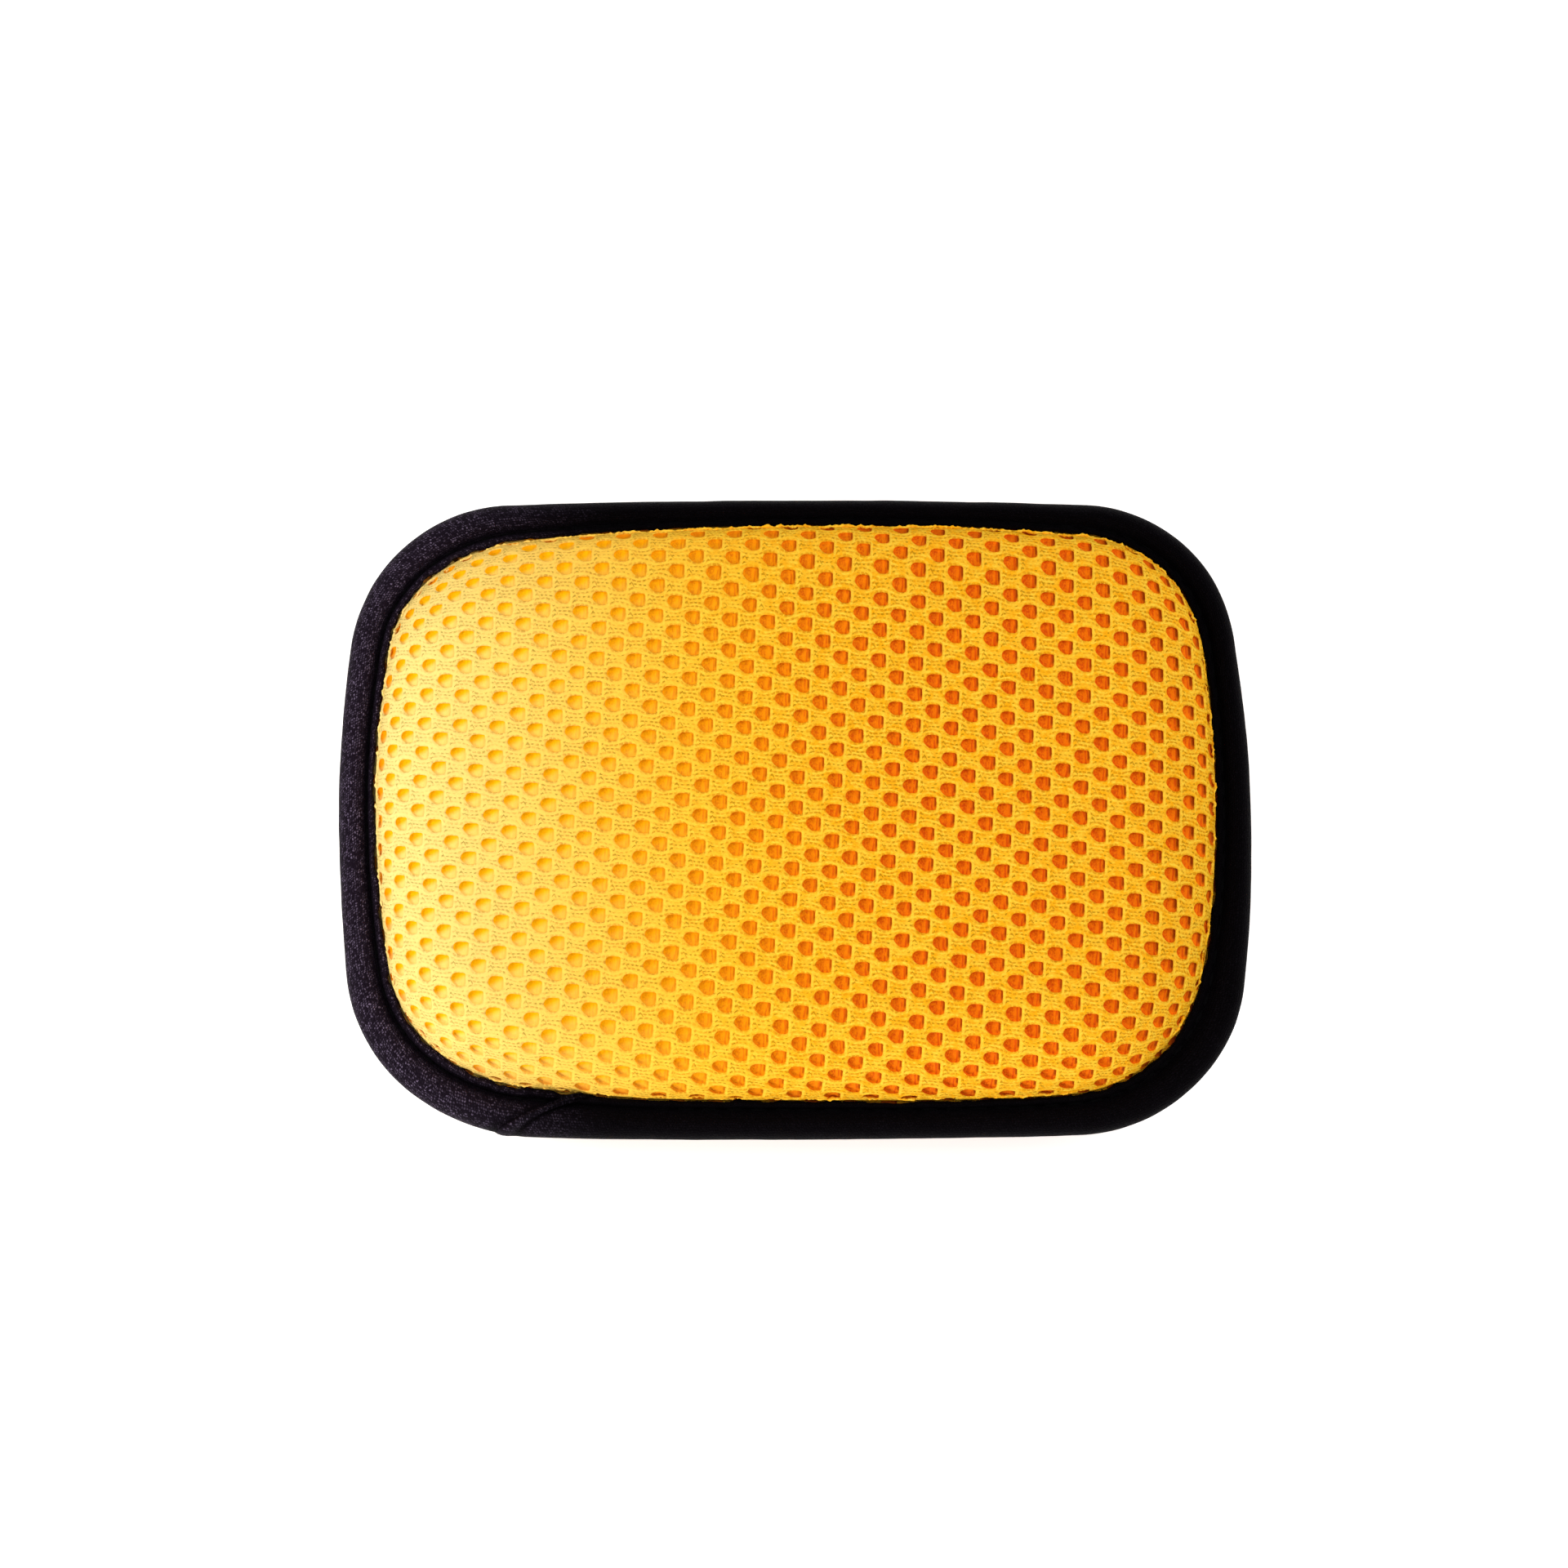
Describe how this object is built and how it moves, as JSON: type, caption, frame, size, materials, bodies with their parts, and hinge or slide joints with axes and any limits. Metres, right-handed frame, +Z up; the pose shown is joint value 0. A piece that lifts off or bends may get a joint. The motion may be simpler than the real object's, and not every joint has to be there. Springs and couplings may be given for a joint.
{
  "type": "cleaning sponge",
  "caption": "Pillow-shaped cleaning sponge: foam core between two domed covers of open mesh, bound round the seam with a folded, stitched fabric tape.",
  "frame": {"origin": "middle of the sponge's outline, on the surface that its back cover rests on", "axes": "+X along the length, to the right of the front face; +Y across the width, away from the near side where the binding's ends lap; +Z up, out of the front face"},
  "size_m": [0.15, 0.1056, 0.0279],
  "materials": {
    "yellow_mesh": "matte knitted spacer mesh",
    "orange_foam": "matte open-cell foam",
    "black_tape": "matte knitted binding tape with a slight violet sheen",
    "black_thread": "matte sewing thread"
  },
  "bodies": {
    "root": {"front_mesh_cover": "yellow_mesh", "back_mesh_cover": "yellow_mesh", "foam_core": "orange_foam", "binding_tape": "black_tape", "seam_thread": "black_thread"}
  },
  "joints": []
}
